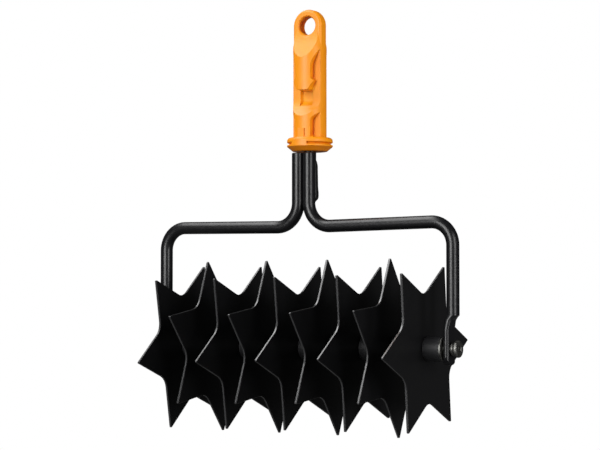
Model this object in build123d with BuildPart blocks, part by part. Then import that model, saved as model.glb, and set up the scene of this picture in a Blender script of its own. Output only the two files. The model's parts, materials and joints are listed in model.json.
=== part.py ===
"""Star wheel cultivator head: a roller of six-pointed steel wheels in a bent-rod frame,
with a moulded connector that plugs into a pole.

Frame: +Z up along the connector, +X along the roller's axle, -Y the front of the connector.
The origin is on the connector's axis, in the plane of the seat that the pole stops against.
Lengths are in millimetres and angles in degrees.
"""
import os
from math import asin, atan2, cos, degrees, hypot, radians, sin, sqrt

from build123d import *

# Star wheels: sheet-steel stars, every other one a quarter turn further round the square axle
star_count = 9
star_points = 6
star_tip_radius = 70.0
star_root_radius = 40.4
star_root_fillet = 12.0
star_tip_round = 0.8
star_thickness = 2.0
star_edge_break = 0.3
star_pitch = 27.5
roller_turn = 7.5            # how far the roller stands turned from points level
star_slack_turn = 2.6        # what the end wheels have turned on the axle, each its own way
star_hole_clearance = 0.35

# Axle and the spacer tubes on it
axle_side = 12.0
axle_edge_chamfer = 0.8
axle_end_recess = 0.5
spacer_diameter = 19.0
spacer_bore_clearance = 0.2
spacer_edge_break = 0.5
end_spacer_left_length = 11.6  # shorter than the right one: the wheels stand left of the middle
end_spacer_right_length = 13.8

# Shoulder screws and washers at both ends
clamp_washer_diameter = 18.4
clamp_washer_thickness = 1.6
shoulder_diameter = 8.0
thread_diameter = 6.0
thread_length = 14.0
thread_clearance = 0.05
tapped_hole_spare = 3.0
screw_head_diameter = 13.0
screw_head_height = 3.0
screw_head_round = 0.8
screw_socket_width = 4.5
screw_socket_depth = 2.0
head_washer_diameter = 10.6
head_washer_thickness = 2.8
washer_bore_clearance = 0.1
washer_edge_break = 0.3
pivot_clearance = 0.05
inner_side_play = 0.7
outer_side_play = 0.7

# Frame arms: one bent rod each side, its lower end pressed into a flat eye
rod_diameter = 10.0
neck_bend_radius = 19.0
corner_bend_radius = 18.0
bar_clearance = 20.1
bar_rise = 1.7
neck_length = 58.9
rod_end_chamfer = 0.6
eye_thickness = 5.2
eye_width = 13.0
eye_edge_bulge = 2.1
eye_inset = 0.8              # the eye's outer face stands this far inside the rod's axis
eye_rise = 15.0
eye_drop = 12.0
press_length = 10.5
shoulder_share = 0.33        # share of the pressed length taken by the steep shoulder

# Neck: a tang lies behind the two rods and is welded to both
tang_diameter = 10.0
tang_lap = 39.0
tang_depth = 30.0
tang_end_chamfer = 1.0
tang_clearance = 0.05
weld_root_gap = 1.0
weld_top_gap = 4.5
weld_length = 34.0
weld_taper = 9.0
weld_upper_radius = 2.6
weld_lower_radius = 3.4
weld_root_clearance = 0.2    # how far the bead's thickest part stays from the joint's middle

# Connector: a moulded spigot with a web between its front and back ribs, over a grooved flange
spigot_radius = 13.4
spigot_top_inset = 0.3       # how far inside the eye's flat face the spigot's round runs out
web_thickness = 10.0
rib_half_width = 6.9
lower_rib_length = 17.0
lower_ramp_length = 9.2
lower_blend_radius = 12.0
latch_recess_length = 11.3
upper_rib_length = 26.1
upper_ramp_length = 17.0
upper_blend_radius = 30.0
blend_leave_angle = 4.0      # how far from tangent a ramp's blend leaves the web
rib_curve_drop = 2.2         # how far under its ramp's top a rib starts to narrow
rib_curve_foot = 0.55        # where it has its own width, as a share of its ramp below the foot
rib_overrun = 0.7            # how far a rib's outline starts outside the spigot's round
barb_width = 2.2
barb_flare = 2.4
barb_height = 7.1            # from the upper rib's end to the barbs' tips
barb_corner = 2.5
rib_end_half_width = 5.0
latch_pocket_half_width = 5.7
latch_pocket_depth = 3.8
latch_pocket_ramp = 2.6
latch_pocket_round = 3.0
hole_rise = 8.9
hole_diameter = 14.4
hole_wall = 5.8
hole_rim_round = 2.5
hole_rim_angle = 55.0        # how far the hole's rim turns before it runs on straight
arch_edge_round = 2.5
tab_half_width = 2.9
tab_height = 7.0
tab_stand = 1.0
flange_diameter = 36.4
flange_rim_round = 2.6
flange_top_rim = 3.8
flange_groove_width = 2.2
flange_groove_depth = 2.2
flange_bottom_rim = 1.1
flange_cone_height = 3.7
flange_cone_inset = 4.5
rod_to_flange_gap = 1.5

# Places along the roller, measured from its middle
rod_radius = rod_diameter / 2
tang_radius = tang_diameter / 2
stack_half = (star_count - 1) / 2 * star_pitch + star_thickness / 2
stack_x = (end_spacer_left_length - end_spacer_right_length) / 2
end_spacer_x = stack_half + (end_spacer_left_length + end_spacer_right_length) / 2
clamp_face_x = end_spacer_x + clamp_washer_thickness
eye_inner_x = clamp_face_x + inner_side_play
eye_outer_x = eye_inner_x + eye_thickness
rod_x = eye_outer_x + eye_inset
head_washer_x = eye_outer_x + outer_side_play
head_x = head_washer_x + head_washer_thickness
axle_half = end_spacer_x - axle_end_recess

# Heights, measured down from the seat at zero
flange_height = flange_top_rim + flange_groove_width + flange_bottom_rim + flange_cone_height
rod_top_z = -flange_height - rod_to_flange_gap
bar_z = rod_top_z - neck_length
axle_z = bar_z - rod_radius - bar_clearance - star_tip_radius
tang_foot_z = rod_top_z - tang_lap
tang_top_z = tang_depth - flange_height

# The rods stand side by side in front of the tang, a weld's root gap away from it
rod_y = -sqrt((rod_radius + tang_radius + weld_root_gap) ** 2 - rod_radius**2)

# Heights along the connector, measured up from the seat
lower_ramp_z = lower_rib_length
recess_z = lower_ramp_z + lower_ramp_length
step_z = recess_z + latch_recess_length
upper_ramp_z = step_z + upper_rib_length
ramp_top_z = upper_ramp_z + upper_ramp_length
hole_z = ramp_top_z + hole_rise
hole_radius = hole_diameter / 2
arch_radius = hole_radius + hole_wall
arch_round = min(arch_edge_round, hole_wall / 2)
web_front_y = web_thickness / 2
ramp_rise = spigot_radius - web_front_y
flange_radius = flange_diameter / 2

os.makedirs("parts", exist_ok=True)


def save(builder, name):
    """Label a finished piece and write it as the node of that name."""
    builder.part.label = name
    export_step(builder.part, f"parts/{name}.step")


def across_axle(x):
    """A plane square to the axle at x, with its local axes along +Y and +Z."""
    return Plane(origin=(x, rod_y, axle_z), x_dir=(0, 1, 0), z_dir=(1, 0, 0))


def at_point(radius, angle):
    """A point of a wheel's outline, in the plane of the wheel."""
    return (radius * cos(radians(angle)), radius * sin(radians(angle)))


def reach(vertex):
    """How far a corner of a wheel's outline lies from the axle."""
    return hypot(vertex.X, vertex.Y)


# Star wheels
middle_star = (star_count - 1) / 2
half_step = 180 / star_points
for index in range(star_count):
    side = (index - middle_star) / middle_star
    turn = roller_turn - star_slack_turn * side + 90 * (index % 2)
    corners = [
        at_point(radius, turn + half_step * (2 * point + offset))
        for point in range(star_points)
        for offset, radius in ((0, star_tip_radius), (1, star_root_radius))
    ]
    left_face = across_axle(stack_x + (index - middle_star) * star_pitch - star_thickness / 2)
    hole_side = axle_side + 2 * star_hole_clearance
    with BuildPart() as star_wheel:
        with BuildSketch(left_face) as star_outline:
            with BuildLine():
                Polyline(*corners, close=True)
            make_face()
            fillet(star_outline.vertices().group_by(reach)[0], star_root_fillet)
            fillet(star_outline.vertices().group_by(reach)[-1], star_tip_round)
        extrude(amount=star_thickness)
        chamfer(star_wheel.faces().filter_by(Axis.X).edges(), star_edge_break)
        with BuildSketch(left_face):
            Rectangle(hole_side, hole_side, rotation=turn)
        extrude(amount=star_thickness, mode=Mode.SUBTRACT)
    save(star_wheel, f"star_wheel_{index + 1}")

# Axle: a square bar with a tapped hole in each end
with BuildPart() as axle:
    with BuildSketch(across_axle(-axle_half)):
        Rectangle(axle_side, axle_side, rotation=roller_turn)
    extrude(amount=2 * axle_half)
    chamfer(axle.edges().filter_by(Axis.X), axle_edge_chamfer)
    with BuildSketch(across_axle(-axle_half), across_axle(axle_half)):
        Circle(thread_diameter / 2 + thread_clearance)
    extrude(amount=thread_length + tapped_hole_spare, both=True, mode=Mode.SUBTRACT)
save(axle, "axle")

# Spacer tubes: one between each two wheels and a shorter one at each end
axle_corner = hypot(axle_side / 2, axle_side / 2 - axle_edge_chamfer)


def tube(start_x, length, outer_radius, bore_radius, edge_break, name):
    """A ring or tube round the axle, starting at start_x, with its outer edges broken."""
    with BuildPart() as ring:
        with BuildSketch(across_axle(start_x)):
            Circle(outer_radius)
        extrude(amount=length)
        chamfer(ring.edges().filter_by(GeomType.CIRCLE), edge_break)
        with BuildSketch(across_axle(start_x)):
            Circle(bore_radius)
        extrude(amount=length, mode=Mode.SUBTRACT)
    save(ring, name)


def spacer(start_x, length, name):
    """A spacer tube round the axle, starting at start_x."""
    bore_radius = axle_corner + spacer_bore_clearance
    tube(start_x, length, spacer_diameter / 2, bore_radius, spacer_edge_break, name)


for index in range(star_count - 1):
    face_x = stack_x + (index - middle_star) * star_pitch + star_thickness / 2
    spacer(face_x, star_pitch - star_thickness, f"spacer_{index + 1}")
spacer(-end_spacer_x, end_spacer_left_length, "end_spacer_left")
spacer(stack_x + stack_half, end_spacer_right_length, "end_spacer_right")


def washer(start_x, thickness, diameter, bore_diameter, name):
    """A washer on a screw, starting at start_x."""
    bore_radius = bore_diameter / 2 + washer_bore_clearance
    tube(start_x, thickness, diameter / 2, bore_radius, washer_edge_break, name)


# Washers: one clamps the stack of wheels at each end, one lies under each screw's head
clamp_sizes = (clamp_washer_thickness, clamp_washer_diameter, thread_diameter)
washer(-clamp_face_x, *clamp_sizes, "clamp_washer_left")
washer(end_spacer_x, *clamp_sizes, "clamp_washer_right")
head_washer_sizes = (head_washer_thickness, head_washer_diameter, shoulder_diameter)
washer(-head_x, *head_washer_sizes, "head_washer_left")
washer(head_washer_x, *head_washer_sizes, "head_washer_right")

# Shoulder screws: the shoulder bears on the clamp washer and turns in the arm's eye
shoulder_length = head_x - clamp_face_x
with BuildPart() as shoulder_screw_right:
    with BuildSketch(across_axle(head_x)):
        Circle(screw_head_diameter / 2)
    extrude(amount=screw_head_height)
    fillet(shoulder_screw_right.faces().sort_by(Axis.X)[-1].edges(), screw_head_round)
    with BuildSketch(across_axle(clamp_face_x)):
        Circle(shoulder_diameter / 2)
    extrude(amount=shoulder_length)
    with BuildSketch(across_axle(clamp_face_x)):
        Circle(thread_diameter / 2)
    extrude(amount=-thread_length)
    with BuildSketch(across_axle(head_x + screw_head_height)):
        RegularPolygon(screw_socket_width / 2, 6, major_radius=False)
    extrude(amount=-screw_socket_depth, mode=Mode.SUBTRACT)
save(shoulder_screw_right, "shoulder_screw_right")

with BuildPart() as shoulder_screw_left:
    mirror(shoulder_screw_right.part, about=Plane.YZ)
save(shoulder_screw_left, "shoulder_screw_left")

# Frame arms: rod bent from the neck out to the side and down, then pressed flat
press_top_z = axle_z + eye_rise + press_length
shoulder_z = press_top_z - shoulder_share * press_length
eye_top_z = axle_z + eye_rise


def level(z):
    """A level plane at height z over the rod's lower end, local axes along +X and +Y."""
    return Plane(origin=(rod_x, rod_y, z))


def pressed_section(inner, outer, half_width, bulge):
    """The rod's pressed section: flat sides at inner and outer, and bulging edges."""
    corner = half_width - bulge
    middle = (inner + outer) / 2
    with BuildSketch() as section:
        with BuildLine():
            Line((outer, -corner), (outer, corner))
            ThreePointArc((outer, corner), (middle, half_width), (inner, corner))
            Line((inner, corner), (inner, -corner))
            ThreePointArc((inner, -corner), (middle, -half_width), (outer, -corner))
        make_face()
    return section.sketch


eye_section = pressed_section(eye_inner_x - rod_x, -eye_inset, eye_width / 2, eye_edge_bulge)
shoulder_section = pressed_section(
    (eye_inner_x - rod_x - rod_radius) / 2,
    rod_radius * shoulder_share - eye_inset,
    (rod_radius + eye_width / 2) / 2,
    eye_edge_bulge,
)

with BuildPart() as arm_right:
    with BuildLine() as rod_path:
        FilletPolyline(
            (rod_radius, rod_y, rod_top_z),
            (rod_radius, rod_y, bar_z),
            (rod_x, rod_y, bar_z + bar_rise),
            (rod_x, rod_y, press_top_z),
            radius=[neck_bend_radius, corner_bend_radius],
        )
    with BuildSketch(Plane(origin=rod_path.line @ 0, z_dir=rod_path.line % 0)):
        Circle(rod_radius)
    sweep()
    chamfer(arm_right.faces().sort_by(Axis.Z)[-1].edges(), rod_end_chamfer)
    with BuildSketch(level(press_top_z)):
        with BuildLine():
            for quarter in range(4):
                CenterArc((0, 0), rod_radius, 90 * quarter - 45, 90)
        make_face()
    with BuildSketch(level(shoulder_z)):
        add(shoulder_section)
    with BuildSketch(level(eye_top_z)):
        add(eye_section)
    loft(ruled=True)
    with BuildSketch(level(eye_top_z)):
        add(eye_section)
    extrude(amount=-(eye_rise + eye_drop))
    with BuildSketch(across_axle(0)):
        with Locations((0, eye_width / 2 - eye_drop)):
            Circle(eye_width / 2)
        with Locations((0, eye_width / 2 - eye_drop)):
            Rectangle(eye_width, rod_top_z - axle_z + eye_drop, align=(Align.CENTER, Align.MIN))
    extrude(amount=rod_x + rod_diameter, mode=Mode.INTERSECT)
    with BuildSketch(across_axle(eye_inner_x)):
        Circle(shoulder_diameter / 2 + pivot_clearance)
    extrude(amount=eye_thickness, both=True, mode=Mode.SUBTRACT)
save(arm_right, "arm_right")

with BuildPart() as arm_left:
    mirror(arm_right.part, about=Plane.YZ)
save(arm_left, "arm_left")

# Tang: a straight bar in the groove behind the two rods, up into the connector
with BuildPart() as tang:
    with BuildSketch(Plane.XY.offset(tang_foot_z)):
        Circle(tang_radius)
    extrude(amount=tang_top_z - tang_foot_z)
    chamfer(tang.edges().filter_by(GeomType.CIRCLE), tang_end_chamfer)
save(tang, "tang")

# Weld beads: one in the groove each side of the tang, thicker towards its lower end
weld_top_z = rod_top_z - weld_top_gap
weld_foot_z = weld_top_z - weld_length
along_joint = Vector(-rod_radius, -rod_y, 0).normalized()
out_of_joint = Vector(along_joint.Y, -along_joint.X, 0)
joint_middle = Vector(rod_radius, rod_y, 0) + along_joint * (rod_radius + weld_root_gap / 2)
weld_stand = max(weld_upper_radius, weld_lower_radius) + weld_root_clearance
bead_axis = joint_middle + out_of_joint * weld_stand
with BuildPart() as weld_right:
    with BuildSketch(Plane(origin=bead_axis, x_dir=out_of_joint, z_dir=-along_joint)):
        with BuildLine():
            upper_side = (weld_upper_radius, weld_top_z - weld_taper)
            lower_side = (weld_lower_radius, weld_foot_z + weld_lower_radius)
            bead_top = TangentArc(upper_side, (0, weld_top_z), tangent=(0, 1))
            Line(upper_side, lower_side)
            TangentArc(lower_side, (0, weld_foot_z), tangent=(0, -1))
            Line((0, weld_foot_z), bead_top @ 1)
        make_face()
    revolve(axis=Axis(bead_axis, (0, 0, 1)))
    with BuildSketch(Plane.XY.offset(weld_foot_z)):
        Circle(tang_radius)
        with Locations((rod_radius, rod_y)):
            Circle(rod_radius)
    extrude(amount=weld_length, mode=Mode.SUBTRACT)
save(weld_right, "weld_right")

with BuildPart() as weld_left:
    mirror(weld_right.part, about=Plane.YZ)
save(weld_left, "weld_left")

# Connector: each ramp leaves the web in a blend that ends a little short of tangent
leave = radians(blend_leave_angle)


def blend_reach(ramp_length, radius):
    """How far over a ramp's own top corner its blend leaves the web."""
    slope = atan2(ramp_rise, ramp_length)
    return radius * ((1 - cos(leave) * cos(slope)) / sin(slope) - sin(leave))


spigot_top_z = ramp_top_z + blend_reach(upper_ramp_length, upper_blend_radius)
recess_floor_z = recess_z + blend_reach(lower_ramp_length, lower_blend_radius)


def ramp_wedge(corner_z, ramp_length, radius):
    """What is cut away over a front ramp, from its blend at the web out to the round."""
    slope = atan2(ramp_rise, ramp_length)
    top_z = corner_z + blend_reach(ramp_length, radius)
    centre_y = -web_front_y - radius * cos(leave)
    centre_z = top_z + radius * sin(leave)
    outside_y = -web_front_y - 2 * ramp_rise

    def on_blend(angle):
        return (centre_y + radius * cos(angle), centre_z - radius * sin(angle))

    with BuildSketch() as wedge:
        with BuildLine():
            blend = ThreePointArc(on_blend(leave), on_blend((leave + slope) / 2), on_blend(slope))
            Polyline(
                blend @ 1,
                (outside_y, corner_z - 2 * ramp_length),
                (outside_y, top_z),
                blend @ 0,
            )
        make_face()
    return wedge.sketch


# Outlines of the ribs seen from the front, local axes along +X and +Z
rib_wide = spigot_radius + rib_overrun


def rib_side(top_z, corner_z, ramp_length, bottom_z):
    """One side of a rib: wider than the spigot at its ramp, then drawn in to its own width."""
    foot_z = corner_z - ramp_length
    with BuildLine() as outline:
        side = Spline(
            (rib_wide, corner_z - rib_curve_drop),
            (rib_half_width, foot_z - rib_curve_foot * ramp_length),
            tangents=[(0, -1), (0, -1)],
        )
        Polyline((0, top_z), (rib_wide, top_z), side @ 0)
        Line(side @ 1, (rib_half_width, bottom_z))
    return outline.line


barb_half_width = rib_half_width + barb_width
barb_tip_z = step_z + barb_height
barb_top_z = barb_tip_z + barb_flare
with BuildSketch() as front_ribs:
    with BuildLine():
        add(rib_side(spigot_top_z, ramp_top_z, upper_ramp_length, barb_top_z))
        Line((rib_half_width, barb_top_z), (barb_half_width, barb_tip_z))
        FilletPolyline(
            (barb_half_width, barb_tip_z),
            (rib_end_half_width, step_z),
            (0, step_z),
            radius=barb_corner,
        )
        mirror(about=Plane.YZ)
    make_face()
    with BuildLine():
        add(rib_side(recess_floor_z, recess_z, lower_ramp_length, -flange_top_rim))
        Line((rib_half_width, -flange_top_rim), (0, -flange_top_rim))
        mirror(about=Plane.YZ)
    make_face()

with BuildSketch() as back_rib:
    with BuildLine():
        add(rib_side(spigot_top_z, ramp_top_z, upper_ramp_length, -flange_top_rim))
        Line((rib_half_width, -flange_top_rim), (0, -flange_top_rim))
        mirror(about=Plane.YZ)
    make_face()


def beside(ribs):
    """What is cut away beside the ribs, down to the web."""
    with BuildSketch() as channels:
        with Locations((0, -flange_top_rim)):
            Rectangle(
                4 * spigot_radius, spigot_top_z + flange_top_rim, align=(Align.CENTER, Align.MIN)
            )
        add(ribs.sketch, mode=Mode.SUBTRACT)
    return channels.sketch


# The spigot: round, drawn in towards its top until its corners lie inside the eye's flat faces
spigot_top_radius = hypot(arch_radius - arch_round, web_front_y) - spigot_top_inset
with BuildPart() as spigot:
    with BuildSketch(Plane.XZ):
        with BuildLine():
            Polyline(
                (0, -flange_top_rim),
                (spigot_radius, -flange_top_rim),
                (spigot_radius, upper_ramp_z + upper_ramp_length / 2),
                (spigot_top_radius, spigot_top_z),
                (0, spigot_top_z),
                close=True,
            )
        make_face()
    revolve(axis=Axis.Z)
    with BuildSketch(Plane.XZ.offset(web_front_y)):
        add(beside(front_ribs))
    extrude(amount=spigot_radius, mode=Mode.SUBTRACT)
    with BuildSketch(Plane.XZ.offset(-web_front_y)):
        add(beside(back_rib))
    extrude(amount=-spigot_radius, mode=Mode.SUBTRACT)
    with BuildSketch(Plane.YZ):
        add(ramp_wedge(ramp_top_z, upper_ramp_length, upper_blend_radius))
        mirror(about=Plane.YZ)
        add(ramp_wedge(recess_z, lower_ramp_length, lower_blend_radius))
    extrude(amount=spigot_radius, both=True, mode=Mode.SUBTRACT)

# The eye at the top: a rounded tab for the hole to hang the tool by
with BuildPart() as eye:
    with BuildSketch(Plane.XZ):
        with Locations((0, hole_z)):
            Circle(arch_radius)
        with Locations((0, upper_ramp_z)):
            Rectangle(2 * arch_radius, hole_z - upper_ramp_z, align=(Align.CENTER, Align.MIN))
    extrude(amount=web_front_y, both=True)
    fillet(eye.faces().filter_by(Axis.Y).edges(), arch_round)

# The hole's mouths widen in an arc and run on straight through the ramps' blends
rim_turn = radians(hole_rim_angle)
hole_round = min(hole_rim_round, hole_wall / 2, web_front_y / 2)
mouth_y = web_front_y - hole_round * sin(rim_turn)
mouth_radius = hole_radius + hole_round * (1 - cos(rim_turn))
mouth_half_turn = (
    hole_radius + hole_round * (1 - cos(rim_turn / 2)),
    mouth_y + hole_round * sin(rim_turn / 2),
)
mouth_end_y = web_front_y + ramp_rise
mouth_end_radius = mouth_radius + ramp_rise * sin(rim_turn) / cos(rim_turn)
with BuildSketch() as hole_profile:
    with BuildLine():
        Line((0, 0), (hole_radius, 0))
        Line((hole_radius, 0), (hole_radius, mouth_y))
        ThreePointArc((hole_radius, mouth_y), mouth_half_turn, (mouth_radius, web_front_y))
        Polyline(
            (mouth_radius, web_front_y),
            (mouth_end_radius, mouth_end_y),
            (0, mouth_end_y),
            (0, 0),
        )
    make_face()
    mirror(about=Plane.XZ)

pocket_rate = latch_pocket_ramp / latch_pocket_depth
groove_top_z = -flange_top_rim
rim_round = min(flange_rim_round, flange_top_rim)
bridge_arc = 2 * degrees(asin(rib_half_width / flange_radius))
bridge_start = radians(-90 - bridge_arc / 2)
bridge_edge = Plane(
    origin=(0, 0, 0),
    x_dir=(cos(bridge_start), sin(bridge_start), 0),
    z_dir=(sin(bridge_start), -cos(bridge_start), 0),
)
with BuildPart() as connector:
    add(spigot.part)
    add(eye.part)
    with BuildSketch(Plane.XY.offset(hole_z)):
        add(hole_profile.sketch)
    revolve(axis=Axis((0, 0, hole_z), (0, 1, 0)), mode=Mode.SUBTRACT)
    with BuildSketch(Plane.XZ):
        with BuildLine():
            Polyline((0, -flange_height), (0, 0), (flange_radius - rim_round, 0))
            RadiusArc((flange_radius - rim_round, 0), (flange_radius, -rim_round), rim_round)
            Polyline(
                (flange_radius, -rim_round),
                (flange_radius, groove_top_z),
                (flange_radius - flange_groove_depth, groove_top_z - flange_groove_width / 2),
                (flange_radius, groove_top_z - flange_groove_width),
                (flange_radius, flange_cone_height - flange_height),
                (flange_radius - flange_cone_inset, -flange_height),
                (0, -flange_height),
            )
        make_face()
    revolve(axis=Axis.Z)
    with BuildSketch(bridge_edge):
        with Locations((flange_radius, groove_top_z)):
            Rectangle(
                2 * flange_groove_depth, flange_groove_width, align=(Align.MAX, Align.MAX)
            )
    revolve(axis=Axis.Z, revolution_arc=bridge_arc)
    with BuildSketch(Plane.XZ.offset(web_front_y)):
        Rectangle(2 * tab_half_width, tab_height, align=(Align.CENTER, Align.MIN))
    extrude(amount=spigot_radius + tab_stand - web_front_y)
    with BuildSketch(Plane.YZ):
        with BuildLine():
            floor = FilletPolyline(
                (latch_pocket_depth - web_front_y, step_z),
                (latch_pocket_depth - web_front_y, recess_z + latch_pocket_ramp),
                (-web_front_y - ramp_rise, recess_z - ramp_rise * pocket_rate),
                radius=latch_pocket_round,
            )
            Polyline(floor @ 1, (-web_front_y - ramp_rise, step_z), floor @ 0)
        make_face()
    extrude(amount=latch_pocket_half_width, both=True, mode=Mode.SUBTRACT)
    with BuildSketch(Plane.XY.offset(-flange_height)):
        Circle(tang_radius + tang_clearance)
    extrude(amount=tang_depth, mode=Mode.SUBTRACT)
save(connector, "connector")
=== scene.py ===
import json
import math

import bpy
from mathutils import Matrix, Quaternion, Vector


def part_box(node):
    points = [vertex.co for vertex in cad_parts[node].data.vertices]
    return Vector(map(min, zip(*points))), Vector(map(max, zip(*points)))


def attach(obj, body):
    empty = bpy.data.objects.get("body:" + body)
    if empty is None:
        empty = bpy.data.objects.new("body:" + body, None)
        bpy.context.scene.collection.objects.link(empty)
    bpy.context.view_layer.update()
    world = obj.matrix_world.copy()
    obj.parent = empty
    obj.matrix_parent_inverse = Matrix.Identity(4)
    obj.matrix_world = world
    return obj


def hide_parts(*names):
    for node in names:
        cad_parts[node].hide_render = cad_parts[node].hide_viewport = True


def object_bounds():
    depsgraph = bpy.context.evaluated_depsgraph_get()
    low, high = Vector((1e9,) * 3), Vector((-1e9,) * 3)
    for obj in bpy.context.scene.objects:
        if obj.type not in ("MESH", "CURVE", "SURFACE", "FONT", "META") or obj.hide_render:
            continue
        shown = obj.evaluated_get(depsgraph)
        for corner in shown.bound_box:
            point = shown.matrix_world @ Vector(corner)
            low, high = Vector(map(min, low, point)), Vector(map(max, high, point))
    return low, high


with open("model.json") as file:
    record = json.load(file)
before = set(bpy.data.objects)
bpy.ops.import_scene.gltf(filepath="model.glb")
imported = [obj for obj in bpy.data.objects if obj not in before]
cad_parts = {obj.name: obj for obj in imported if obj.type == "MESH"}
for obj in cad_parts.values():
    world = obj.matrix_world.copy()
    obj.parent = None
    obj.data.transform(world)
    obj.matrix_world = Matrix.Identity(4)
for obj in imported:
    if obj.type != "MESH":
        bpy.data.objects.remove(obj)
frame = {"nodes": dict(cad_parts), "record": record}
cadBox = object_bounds()
nodes = frame["nodes"]
scene = bpy.context.scene
millimetre = 0.001
axlePlace = Vector(frame["record"]["behaviour"]["joints"][0]["pos_m"])
print("frame loaded:", len(nodes), "nodes")


def linearColour(hexCode):  # sRGB hex to linear RGBA
    shares = [int(hexCode[i:i + 2], 16) / 255 for i in (0, 2, 4)]
    return [s / 12.92 if s <= 0.04045 else ((s + 0.055) / 1.055) ** 2.4 for s in shares] + [1.0]


def addNode(tree, kind, settings=None, sockets=None):  # one node with its settings, values and links
    node = tree.nodes.new(kind)
    for name, value in (settings or {}).items():
        setattr(node, name, value)
    for name, value in (sockets or {}).items():
        socket = node.inputs[name]
        if isinstance(value, bpy.types.NodeSocket):
            tree.links.new(value, socket)
        else:
            socket.default_value = value
    return node


def newMaterial(name):  # a material with an empty node tree
    material = bpy.data.materials.new(name)
    material.use_nodes = True
    material.node_tree.nodes.clear()
    return material, material.node_tree


def finishMaterial(tree, sockets):  # the shader with its values and links, joined to the output
    shader = addNode(tree, "ShaderNodeBsdfPrincipled", sockets=sockets)
    addNode(tree, "ShaderNodeOutputMaterial", sockets={"Surface": shader.outputs["BSDF"]})


def perMetre(size):  # a noise texture's scale for features of that size in millimetres
    return 1 / (size * millimetre)


def blended(tree, factor, low, high, span):  # two hex colours, mixed as factor goes through the span
    share = addNode(tree, "ShaderNodeMapRange", sockets={
        "Value": factor, "From Min": span[0], "From Max": span[1]})
    mix = addNode(tree, "ShaderNodeMix", {"data_type": "RGBA"}, {
        "Factor": share.outputs["Result"], "A": linearColour(low), "B": linearColour(high)})
    return mix.outputs["Result"]


# Glass-filled nylon, moulded in a spark-eroded tool that opens front and back: satin skin with a fine even
# grain, edges that are never sharp, faint cloudy flow marks that make large faces slightly uneven, and a
# thin line down each flank where the halves of the tool met. The grain is drawn coarser than it is. Painted
# shade: the colour turns a deeper orange where side walls are closed in, inside the hole and along the ribs'
# side walls, and on the undersides that face down. The flange's groove is left out of it as too shallow.
# Painted light: the closed-in part of the latch recess is painted a paler orange.
orangeNylonSet = {
    "colour": "EE9208", "roughness": (0.42, 0.5), "specular": 0.5,
    "cloud": "E98B06", "cloudSize": 14.0, "cloudDetail": 3.0, "cloudTint": (0.3, 0.7),
    "cloudGloss": (0.25, 0.75),
    "grain": 0.6, "grainDetail": 2.0, "grainHeight": 0.012, "grainStrength": 0.35,
    "edgeRound": 0.6, "edgeSamples": 6, "lineHalf": 0.14, "lineHeight": 0.06,
    # next: the darker orange painted as shade on closed-in side walls, inside the hole and on undersides
    "deep": "BC4800", "deepReach": 15.0, "deepSamples": 8, "deepOpen": (0.5, 0.85), "deepSide": (0.6, 0.85),
    "deepBelow": (-0.4, -0.9), "belowShare": 0.42, "seat": (0.0, 3.0),
    # next: a paler orange painted as light into the closed-in part of the latch recess, and where that recess
    # lies
    "rubbed": "F0A60F", "recessMiddle": 34.0, "recessHalf": (5.0, 9.0),
}


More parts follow.
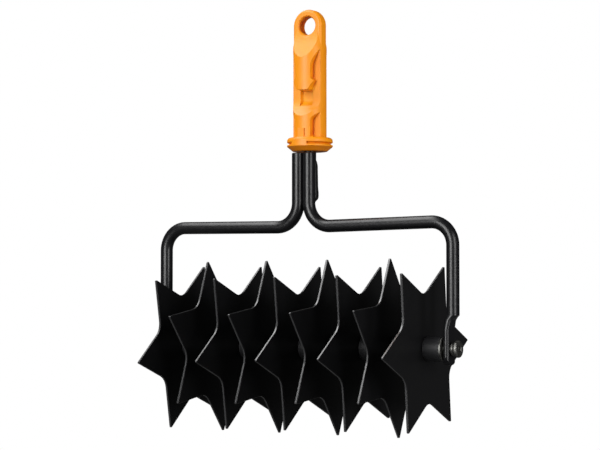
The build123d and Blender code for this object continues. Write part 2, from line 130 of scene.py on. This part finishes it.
def orangeNylonMaterial(s):
    material, tree = newMaterial("orangeNylonMoulded")
    coordinates = addNode(tree, "ShaderNodeTexCoord").outputs
    place = coordinates["Object"]
    axes = addNode(tree, "ShaderNodeSeparateXYZ", sockets={"Vector": place}).outputs
    facing = addNode(tree, "ShaderNodeSeparateXYZ", sockets={"Vector": coordinates["Normal"]}).outputs
    cloud = addNode(tree, "ShaderNodeTexNoise", sockets={
        "Vector": place, "Scale": perMetre(s["cloudSize"]), "Detail": s["cloudDetail"]}).outputs["Fac"]
    grain = addNode(tree, "ShaderNodeTexNoise", sockets={
        "Vector": place, "Scale": perMetre(s["grain"]), "Detail": s["grainDetail"]}).outputs["Fac"]

    # relief: rounded edges, then the tool's line, then the grain
    offLine = addNode(tree, "ShaderNodeMath", {"operation": "ABSOLUTE"}, {0: axes["Y"]})
    ridge = addNode(tree, "ShaderNodeMapRange", {"interpolation_type": "SMOOTHSTEP"}, {
        "Value": offLine.outputs[0], "From Min": 0.0, "From Max": 2 * s["lineHalf"] * millimetre,
        "To Min": 1.0, "To Max": 0.0})
    edge = addNode(tree, "ShaderNodeBevel", {"samples": s["edgeSamples"]}, {
        "Radius": s["edgeRound"] * millimetre})
    line = addNode(tree, "ShaderNodeBump", sockets={
        "Height": ridge.outputs["Result"], "Distance": s["lineHeight"] * millimetre,
        "Normal": edge.outputs["Normal"]})
    bump = addNode(tree, "ShaderNodeBump", sockets={
        "Height": grain, "Strength": s["grainStrength"], "Distance": s["grainHeight"] * millimetre,
        "Normal": line.outputs["Normal"]})

    # how much each point is closed in, a side wall, clear of the seat and clear of the recess
    opened = addNode(tree, "ShaderNodeAmbientOcclusion", {"samples": s["deepSamples"]}, {
        "Distance": s["deepReach"] * millimetre})
    closed = addNode(tree, "ShaderNodeMapRange", sockets={
        "Value": opened.outputs["AO"], "From Min": s["deepOpen"][0], "From Max": s["deepOpen"][1],
        "To Min": 1.0, "To Max": 0.0}).outputs["Result"]
    fromRecess = addNode(tree, "ShaderNodeMath", {"operation": "SUBTRACT"}, {
        0: axes["Z"], 1: s["recessMiddle"] * millimetre}).outputs[0]
    shares = []
    for value, limits, unit in ((facing["X"], s["deepSide"], 1), (axes["Z"], s["seat"], millimetre),
                                (fromRecess, s["recessHalf"], millimetre)):
        size = addNode(tree, "ShaderNodeMath", {"operation": "ABSOLUTE"}, {0: value})
        share = addNode(tree, "ShaderNodeMapRange", sockets={
            "Value": size.outputs[0], "From Min": limits[0] * unit, "From Max": limits[1] * unit})
        shares.append(share.outputs["Result"])
    sideWall, offSeat, offRecess = shares

    # colour: painted shade, a deeper orange inside and below; painted light, paler in the closed-in recess
    wall = addNode(tree, "ShaderNodeMath", {"operation": "MULTIPLY"}, {0: sideWall, 1: offSeat})
    closedWall = addNode(tree, "ShaderNodeMath", {"operation": "MULTIPLY"}, {0: wall.outputs[0], 1: closed})
    below = addNode(tree, "ShaderNodeMapRange", sockets={
        "Value": facing["Z"], "From Min": s["deepBelow"][0], "From Max": s["deepBelow"][1],
        "To Max": s["belowShare"]})
    inside = addNode(tree, "ShaderNodeMath", {"operation": "MAXIMUM"}, {
        0: closedWall.outputs[0], 1: below.outputs["Result"]})
    plain = blended(tree, cloud, s["cloud"], s["colour"], s["cloudTint"])
    # painted shade: the darker orange is mixed in where closed in or facing down
    hollow = addNode(tree, "ShaderNodeMix", {"data_type": "RGBA"}, {
        "Factor": inside.outputs[0], "A": plain, "B": linearColour(s["deep"])})
    # painted light: the closed-in part of the recess is mixed towards a paler orange
    rubbed = addNode(tree, "ShaderNodeMix", {"data_type": "RGBA"}, {
        "Factor": closed, "A": plain, "B": linearColour(s["rubbed"])})
    skin = addNode(tree, "ShaderNodeMix", {"data_type": "RGBA"}, {
        "Factor": offRecess, "A": rubbed.outputs["Result"], "B": hollow.outputs["Result"]})

    roughness = addNode(tree, "ShaderNodeMapRange", sockets={
        "Value": cloud, "From Min": s["cloudGloss"][0], "From Max": s["cloudGloss"][1],
        "To Min": s["roughness"][0], "To Max": s["roughness"][1]})
    finishMaterial(tree, {
        "Base Color": skin.outputs["Result"],
        "Roughness": roughness.outputs["Result"],
        "Specular IOR Level": s["specular"],
        "Normal": bump.outputs["Normal"],
    })
    return material


# Black polyester powder coat baked on steel: semi-gloss, flowed smooth, with a shallow orange peel
powderCoatSet = {
    "colour": "0C0C0E", "roughness": (0.3, 0.36), "specular": 0.5, "peel": 3.0, "peelHeight": 0.006,
}
# The same coat over the welds: duller, with a finer and deeper peel, because the metal under it is rough
weldCoatSet = {
    "colour": "0B0B0C", "roughness": (0.34, 0.5), "specular": 0.4, "peel": 1.4, "peelHeight": 0.03,
}
# Thin black electro-coat on drawn tube: satin, and a little uneven as the tube under it is
tubeCoatSet = {
    "colour": "1C1C1E", "roughness": (0.48, 0.58), "specular": 0.5, "peel": 4.0, "peelHeight": 0.01,
}
peelSet = {"detail": 1.0, "strength": 0.3, "gloss": (0.3, 0.7)}  # the same for all three


def blackCoatMaterial(name, s):
    material, tree = newMaterial(name)
    place = addNode(tree, "ShaderNodeTexCoord").outputs["Object"]
    peel = addNode(tree, "ShaderNodeTexNoise", sockets={
        "Vector": place, "Scale": perMetre(s["peel"]), "Detail": peelSet["detail"]}).outputs["Fac"]
    bump = addNode(tree, "ShaderNodeBump", sockets={
        "Height": peel, "Strength": peelSet["strength"], "Distance": s["peelHeight"] * millimetre})
    roughness = addNode(tree, "ShaderNodeMapRange", sockets={
        "Value": peel, "From Min": peelSet["gloss"][0], "From Max": peelSet["gloss"][1],
        "To Min": s["roughness"][0], "To Max": s["roughness"][1]})
    finishMaterial(tree, {
        "Base Color": linearColour(s["colour"]),
        "Roughness": roughness.outputs["Result"],
        "Specular IOR Level": s["specular"],
        "Normal": bump.outputs["Normal"],
    })
    return material


# Stars punched from sheet steel under a thin black coat: the flat faces stay dark and even. A narrow band
# along the middle of each cut edge is made glossier, so that it shines as a light line wherever it faces up
# to the lamps, and is painted a lighter grey as a painted highlight along that line; the strips beside it
# stay dark.
wheelSheetSet = {
    "face": "101011", "roughness": 0.36, "specular": 0.35,
    # next: the cut-edge band's lighter grey is a painted highlight; its lower roughness and higher specular
    # are the coat's
    "edge": "363637", "edgeRoughness": 0.26, "edgeSpecular": 1.0,
    "peel": 2.2, "peelDetail": 2.0, "peelHeight": 0.012, "peelStrength": 0.25,
    "band": (0.3, 0.75), "cutFacing": (0.75, 0.9),
}


def wheelMiddle(number):  # where the middle of that wheel's sheet stands along the axle
    low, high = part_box("star_wheel_%d" % number)
    return (low.x + high.x) / 2


def wheelSheetMaterial(s):
    material, tree = newMaterial("blackPaintedSheetSteel")
    coordinates = addNode(tree, "ShaderNodeTexCoord").outputs
    place = coordinates["Object"]
    along = addNode(tree, "ShaderNodeSeparateXYZ", sockets={"Vector": place}).outputs["X"]
    facing = addNode(tree, "ShaderNodeSeparateXYZ", sockets={"Vector": coordinates["Normal"]}).outputs["X"]

    # the band along the middle of each sheet, and only where the edge was cut
    shifted = addNode(tree, "ShaderNodeMath", {"operation": "SUBTRACT"}, {0: along, 1: wheelMiddle(1)})
    half = (wheelMiddle(2) - wheelMiddle(1)) / 2  # of the way from wheel to wheel
    wrapped = addNode(tree, "ShaderNodeMath", {"operation": "WRAP"}, {
        0: shifted.outputs[0], 1: half, 2: -half})
    offMiddle = addNode(tree, "ShaderNodeMath", {"operation": "ABSOLUTE"}, {0: wrapped.outputs[0]})
    band = addNode(tree, "ShaderNodeMapRange", {"interpolation_type": "SMOOTHSTEP"}, {
        "Value": offMiddle.outputs[0], "From Min": s["band"][0] * millimetre,
        "From Max": s["band"][1] * millimetre, "To Min": 1.0, "To Max": 0.0})
    across = addNode(tree, "ShaderNodeMath", {"operation": "ABSOLUTE"}, {0: facing})
    cut = addNode(tree, "ShaderNodeMapRange", sockets={
        "Value": across.outputs[0], "From Min": s["cutFacing"][0], "From Max": s["cutFacing"][1],
        "To Min": 1.0, "To Max": 0.0})
    # the band's mask: glossier coat, and a painted highlight of lighter grey
    edgeGlossAndHighlight = addNode(tree, "ShaderNodeMath", {"operation": "MULTIPLY"}, {
        0: band.outputs["Result"], 1: cut.outputs["Result"]}).outputs[0]

    peel = addNode(tree, "ShaderNodeTexNoise", sockets={
        "Vector": place, "Scale": perMetre(s["peel"]), "Detail": s["peelDetail"]})
    bump = addNode(tree, "ShaderNodeBump", sockets={
        "Height": peel.outputs["Fac"], "Strength": s["peelStrength"],
        "Distance": s["peelHeight"] * millimetre})
    roughness = addNode(tree, "ShaderNodeMapRange", sockets={
        "Value": edgeGlossAndHighlight, "To Min": s["roughness"], "To Max": s["edgeRoughness"]})
    shine = addNode(tree, "ShaderNodeMapRange", sockets={
        "Value": edgeGlossAndHighlight, "To Min": s["specular"], "To Max": s["edgeSpecular"]})
    finishMaterial(tree, {
        # the lighter grey on the cut-edge band is a painted highlight
        "Base Color": blended(tree, edgeGlossAndHighlight, s["face"], s["edge"], (0.0, 1.0)),
        "Roughness": roughness.outputs["Result"],
        "Specular IOR Level": shine.outputs["Result"],
        "Normal": bump.outputs["Normal"],
    })
    return material


# Turned steel with a dull zinc and black passivate skin: gunmetal grey, soft blotches, and the fine rings
# that turning leaves round the axle's axis, drawn far coarser than they are
gunmetalSet = {
    "colour": "8E8E8A", "dull": "696965", "roughness": (0.4, 0.52),
    "blotch": 5.0, "blotchDetail": 4.0, "blotchTint": (0.35, 0.65), "blotchGloss": (0.3, 0.7),
    "ring": 3.14, "ringWander": 0.4, "ringHeight": 0.01, "ringStrength": 0.3,
}
waveLength = 2 * math.pi / 20  # from ring to ring in a wave texture at scale 1


def gunmetalMaterial(s):
    material, tree = newMaterial("dullZincPlatedSteel")
    place = addNode(tree, "ShaderNodeTexCoord").outputs["Object"]
    blotch = addNode(tree, "ShaderNodeTexNoise", sockets={
        "Vector": place, "Scale": perMetre(s["blotch"]), "Detail": s["blotchDetail"]}).outputs["Fac"]
    fromAxle = addNode(tree, "ShaderNodeVectorMath", {"operation": "SUBTRACT"}, {0: place, 1: axlePlace})
    rings = addNode(tree, "ShaderNodeTexWave", {"wave_type": "RINGS", "rings_direction": "X"}, {
        "Vector": fromAxle.outputs["Vector"], "Scale": waveLength * perMetre(s["ring"]),
        "Distortion": s["ringWander"]})
    bump = addNode(tree, "ShaderNodeBump", sockets={
        "Height": rings.outputs["Fac"], "Strength": s["ringStrength"],
        "Distance": s["ringHeight"] * millimetre})
    roughness = addNode(tree, "ShaderNodeMapRange", sockets={
        "Value": blotch, "From Min": s["blotchGloss"][0], "From Max": s["blotchGloss"][1],
        "To Min": s["roughness"][0], "To Max": s["roughness"][1]})
    finishMaterial(tree, {
        "Base Color": blended(tree, blotch, s["dull"], s["colour"], s["blotchTint"]),
        "Roughness": roughness.outputs["Result"],
        "Metallic": 1.0,
        "Normal": bump.outputs["Normal"],
    })
    return material


orangeNylon = orangeNylonMaterial(orangeNylonSet)
powderCoat = blackCoatMaterial("blackPowderCoat", powderCoatSet)
weldCoat = blackCoatMaterial("blackPowderCoatOverWeld", weldCoatSet)
tubeCoat = blackCoatMaterial("blackElectroCoatOnTube", tubeCoatSet)
wheelSheet = wheelSheetMaterial(wheelSheetSet)
gunmetal = gunmetalMaterial(gunmetalSet)
print("materials made")


def coat(node, material):  # the finish of a carried-over node
    slots = node.data.materials
    slots.clear()
    slots.append(material)


finishes = {
    "connector": orangeNylon, "star_wheel": wheelSheet, "spacer": tubeCoat, "end_spacer": tubeCoat,
    "clamp_washer": gunmetal, "head_washer": gunmetal, "shoulder_screw": gunmetal, "axle": gunmetal,
    "arm": powderCoat, "tang": powderCoat, "weld": weldCoat,
}
for name, node in nodes.items():
    coat(node, next(finish for start, finish in finishes.items() if name.startswith(start)))
print("nodes coated")

# Weld beads: laid in overlapping ripples, thicker where the weld was started near the foot (millimetres,
# but bulgeDown and bulgeReach are shares of the bead's length)
beadSet = {
    "axis": (5.707, -3.263), "upper": 3.0, "lower": 3.6, "bulge": 0.3, "bulgeDown": 0.82, "bulgeReach": 0.1,
    "taper": 7.0, "pitch": 2.1, "ripple": 0.16, "sag": 0.9, "rings": 150, "around": 32,
}


def beadMesh(name, side, s):  # a closed skin round the bead's axis, in millimetres up to the last step
    low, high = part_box(name)
    top, foot = high.z / millimetre, low.z / millimetre
    middleX, middleY = side * s["axis"][0], s["axis"][1]
    around, last = s["around"], (s["rings"] - 2) * s["around"]
    points, faces = [], []
    for i in range(1, s["rings"]):
        z = top + (foot - top) * i / s["rings"]
        down = (top - z) / (top - foot)
        radius = s["upper"] + (s["lower"] - s["upper"]) * down
        radius += s["bulge"] * math.exp(-((down - s["bulgeDown"]) / s["bulgeReach"]) ** 2)
        fromTop, fromFoot = min(1, (top - z) / s["taper"]), min(1, (z - foot) / s["lower"])
        cap = math.sqrt(1 - (1 - fromTop) ** 2) * math.sqrt(1 - (1 - fromFoot) ** 2)
        for j in range(around):
            turn = 2 * math.pi * j / around
            front = math.cos(turn) * side  # how far this side faces away from the joint
            wave = math.cos(2 * math.pi * (z + s["sag"] * front) / s["pitch"])
            r = (radius - s["ripple"] * (1 - abs(wave))) * cap
            points.append((middleX + r * math.cos(turn), middleY + r * math.sin(turn), z))
    for i in range(s["rings"] - 2):
        for j in range(around):
            a, b = i * around + j, i * around + (j + 1) % around
            faces.append((a, a + around, b + around, b))
    points += [(middleX, middleY, top), (middleX, middleY, foot)]
    for j in range(around):
        faces.append((len(points) - 2, j, (j + 1) % around))
        faces.append((len(points) - 1, last + (j + 1) % around, last + j))
    mesh = bpy.data.meshes.new(name + "_bead")
    mesh.from_pydata([Vector(point) * millimetre for point in points], [], faces)
    mesh.shade_smooth()
    return mesh


for name, side in (("weld_right", 1), ("weld_left", -1)):
    bead = bpy.data.objects.new(name + "_bead", beadMesh(name, side, beadSet))
    scene.collection.objects.link(bead)
    bead.data.materials.append(weldCoat)
    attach(bead, "frame")
    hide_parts(name)
print("weld beads laid")

# Shoulder screws and the collars under their heads: turned, as (depth from the head's face, radius) in
# millimetres, with a groove beside each collar, a rounded rim, and a countersunk hexagon socket
screwSet = {
    "stem": [(26.4, 2.6), (26.0, 3.0), (12.4, 3.0), (12.4, 3.9), (12.3, 4.0), (3.0, 4.0)],
    "head": [(3.0, 5.7), (2.7, 6.2), (2.3, 6.45), (1.9, 6.5), (0.9, 6.5), (0.5, 6.38), (0.2, 6.1),
             (0.04, 5.7), (0.0, 5.2), (0.0, 3.3)],
    "socketWide": 4.5, "countersink": 0.35, "socketDeep": 2.0, "drillTip": (2.4, 0.4),
    "collar": [(3.0, 4.1), (3.0, 4.5), (3.4, 4.55), (3.75, 4.75), (4.0, 5.1), (4.3, 5.27), (4.6, 5.3),
               (5.2, 5.3), (5.55, 5.2), (5.8, 4.9), (5.8, 4.1)],
    "around": 72, "sharpAngle": 40.0,
}


def turnedMesh(name, face, side, rings, closed):  # rings round the axle, each (depth, function of the turn)
    around = screwSet["around"]
    points, faces = [], []
    for depth, radius in rings:
        for j in range(around):
            turn = 2 * math.pi * j / around
            r = radius(turn) * millimetre
            points.append((face - side * depth * millimetre, axlePlace.y + r * math.cos(turn),
                           axlePlace.z + side * r * math.sin(turn)))
    for i in range(len(rings) if closed else len(rings) - 1):
        for j in range(around):
            k, n = (j + 1) % around, (i + 1) % len(rings)
            faces.append((i * around + j, i * around + k, n * around + k, n * around + j))
    if not closed:
        for i in (0, len(rings) - 1):
            points.append((face - side * rings[i][0] * millimetre, axlePlace.y, axlePlace.z))
            for j in range(around):
                fan = (len(points) - 1, i * around + j, i * around + (j + 1) % around)
                faces.append(fan if i else fan[::-1])
    mesh = bpy.data.meshes.new(name)
    mesh.from_pydata(points, [], faces)
    mesh.shade_smooth()
    return mesh


def circle(radius):  # that radius at any turn
    return lambda turn: radius


def hexagon(wide):  # the radius of a hexagon that is that wide across its flats, at any turn
    return lambda turn: wide / 2 / math.cos((turn + math.pi / 6) % (math.pi / 3) - math.pi / 6)


def screwRings(s):  # from the end of the stem over the head and down into its socket
    socket, mouth = hexagon(s["socketWide"]), hexagon(s["socketWide"] + 2 * s["countersink"])
    tipDepth, tipRadius = s["drillTip"]
    rings = [(depth, circle(radius)) for depth, radius in s["stem"] + s["head"]]
    rings += [(0.0, mouth), (s["countersink"], socket), (s["socketDeep"], socket)]
    return rings + [(tipDepth, circle(tipRadius))]


collarRings = [(depth, circle(radius)) for depth, radius in screwSet["collar"]]
for name, side in (("right", 1), ("left", -1)):
    low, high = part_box("shoulder_screw_" + name)
    face = high.x if side > 0 else low.x
    for kind, node, rings, closed in (("turned_screw_", "shoulder_screw_", screwRings(screwSet), False),
                                      ("turned_collar_", "head_washer_", collarRings, True)):
        piece = bpy.data.objects.new(kind + name, turnedMesh(kind + name, face, side, rings, closed))
        scene.collection.objects.link(piece)
        piece.data.materials.append(gunmetal)
        edges = piece.modifiers.new("sharpEdges", "EDGE_SPLIT")
        edges.split_angle = math.radians(screwSet["sharpAngle"])
        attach(piece, "roller")
        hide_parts(node + name)
print("screws turned")

# Camera: at the photo's angle, fitted to the tool's own corners (place in metres, turn and tilt in degrees)
cameraSet = {
    "place": (0.8165, -1.3555, -0.1356), "turn": 31.35, "tilt": 2.40, "lens": 119.48, "sensor": 36.0,
}
cameraTurn = math.radians(cameraSet["turn"])
camera = bpy.data.objects.new("camera", bpy.data.cameras.new("camera"))
camera.data.lens = cameraSet["lens"]
camera.data.sensor_width = cameraSet["sensor"]
camera.location = cameraSet["place"]
camera.rotation_euler = (math.radians(90 + cameraSet["tilt"]), 0, cameraTurn)
scene.collection.objects.link(camera)
scene.camera = camera

# Soft boxes round the tool, placed from its middle in metres. The side and back ones light what is turned
# away from the photo's side, and aren't mirrored in the gloss.
middle = (cadBox[0] + cadBox[1]) / 2
lampSet = {
    "keyLeft": {"place": (-0.16, -1.92, 0.35), "size": (0.9, 1.3), "power": 32.0},
    "keyRight": {"place": (1.77, -0.68, 0.3), "size": (0.6, 1.2), "power": 15.0},
    "overhead": {"place": (-0.65, -0.38, 1.26), "size": (1.6, 0.7), "power": 19.0, "roll": -33.0},
    "side": {"place": (1.84, 0.49, 0.2), "size": (0.6, 1.2), "power": 18.0, "mirrored": False},
    "back": {"place": (-0.98, 1.63, 0.3), "size": (1.0, 0.8), "power": 24.0, "mirrored": False},
}
for name, setting in lampSet.items():
    lamp = bpy.data.lights.new(name, "AREA")
    lamp.shape = "RECTANGLE"
    lamp.size, lamp.size_y = setting["size"]
    lamp.energy = setting["power"]
    holder = bpy.data.objects.new(name, lamp)
    holder.visible_camera = False
    holder.visible_glossy = setting.get("mirrored", True)
    holder.location = middle + Vector(setting["place"])
    aim = (-Vector(setting["place"])).to_track_quat("-Z", "Y")
    roll = Quaternion((0, 0, 1), math.radians(setting.get("roll", 0.0)))
    holder.rotation_euler = (aim @ roll).to_euler()
    scene.collection.objects.link(holder)

# The backdrop is white to the camera from everywhere, and in reflections where it stands behind the tool:
# its edge there fades between two angles off the camera's way, which are given as cosines
worldSet = {"white": 1.0, "fill": 0.07, "studio": 0.04, "edgeIn": 0.9995, "edgeOut": 0.998}
world = bpy.data.worlds.new("studio")
scene.world = world
world.use_nodes = True
sky = world.node_tree
sky.nodes.clear()
lightPath = addNode(sky, "ShaderNodeLightPath").outputs
direction = addNode(sky, "ShaderNodeTexCoord").outputs["Generated"]
away = Vector((-math.sin(cameraTurn), math.cos(cameraTurn), 0))  # the way that the camera looks, kept level
behind = addNode(sky, "ShaderNodeVectorMath", {"operation": "DOT_PRODUCT"}, {0: direction, 1: away})
backdrop = addNode(sky, "ShaderNodeMapRange", sockets={
    "Value": behind.outputs["Value"], "From Min": worldSet["edgeOut"], "From Max": worldSet["edgeIn"],
    "To Min": worldSet["studio"], "To Max": worldSet["white"]})
mirrored = addNode(sky, "ShaderNodeMath", {"operation": "MAXIMUM"}, {
    0: lightPath["Is Glossy Ray"], 1: lightPath["Is Transmission Ray"]})
bounced = addNode(sky, "ShaderNodeMix", sockets={
    "Factor": mirrored.outputs[0], "A": worldSet["fill"], "B": backdrop.outputs["Result"]})
strength = addNode(sky, "ShaderNodeMix", sockets={
    "Factor": lightPath["Is Camera Ray"], "A": bounced.outputs["Result"], "B": worldSet["white"]})
background = addNode(sky, "ShaderNodeBackground", sockets={
    "Color": linearColour("FFFFFF"), "Strength": strength.outputs["Result"]})
addNode(sky, "ShaderNodeOutputWorld", sockets={"Surface": background.outputs[0]})

# The floor fades into the white backdrop, lets the camera look through it from below, and throws less light
# back up than it shows
floorSet = {
    "radius": 1.6, "sides": 96, "drop": 0.30, "colour": "DEDEDE", "bounce": "565656", "fade": (0.55, 1.3),
}


def floorDisc(s):
    turns = [2 * math.pi * i / s["sides"] for i in range(s["sides"])]
    rim = [(s["radius"] * math.cos(a), s["radius"] * math.sin(a), 0) for a in turns]
    mesh = bpy.data.meshes.new("floor")
    mesh.from_pydata(rim, [], [list(range(s["sides"]))])
    return mesh


def paleFloorMaterial(s):
    material, tree = newMaterial("paleFloor")
    fromMiddle = addNode(tree, "ShaderNodeVectorMath", {"operation": "LENGTH"}, {
        0: addNode(tree, "ShaderNodeTexCoord").outputs["Object"]})
    fade = addNode(tree, "ShaderNodeMapRange", {"interpolation_type": "SMOOTHSTEP"}, {
        "Value": fromMiddle.outputs["Value"], "From Min": s["fade"][0], "From Max": s["fade"][1]})
    lit = addNode(tree, "ShaderNodeBsdfDiffuse", sockets={"Color": linearColour(s["colour"])})
    white = addNode(tree, "ShaderNodeEmission", sockets={"Strength": worldSet["white"]})
    seen = addNode(tree, "ShaderNodeMixShader", sockets={
        0: fade.outputs["Result"], 1: lit.outputs[0], 2: white.outputs[0]})
    unseen = addNode(tree, "ShaderNodeBsdfDiffuse", sockets={"Color": linearColour(s["bounce"])})
    top = addNode(tree, "ShaderNodeMixShader", sockets={
        0: addNode(tree, "ShaderNodeLightPath").outputs["Is Camera Ray"],
        1: unseen.outputs[0], 2: seen.outputs[0]})
    surface = addNode(tree, "ShaderNodeMixShader", sockets={
        0: addNode(tree, "ShaderNodeNewGeometry").outputs["Backfacing"],
        1: top.outputs[0], 2: addNode(tree, "ShaderNodeBsdfTransparent").outputs[0]})
    addNode(tree, "ShaderNodeOutputMaterial", sockets={"Surface": surface.outputs[0]})
    return material


floor = bpy.data.objects.new("floor", floorDisc(floorSet))
floor.location = (middle.x, middle.y, cadBox[0].z - floorSet["drop"])
floor.data.materials.append(paleFloorMaterial(floorSet))
scene.collection.objects.link(floor)
scene.view_settings.view_transform = "Standard"
print("camera, lamps and floor placed")
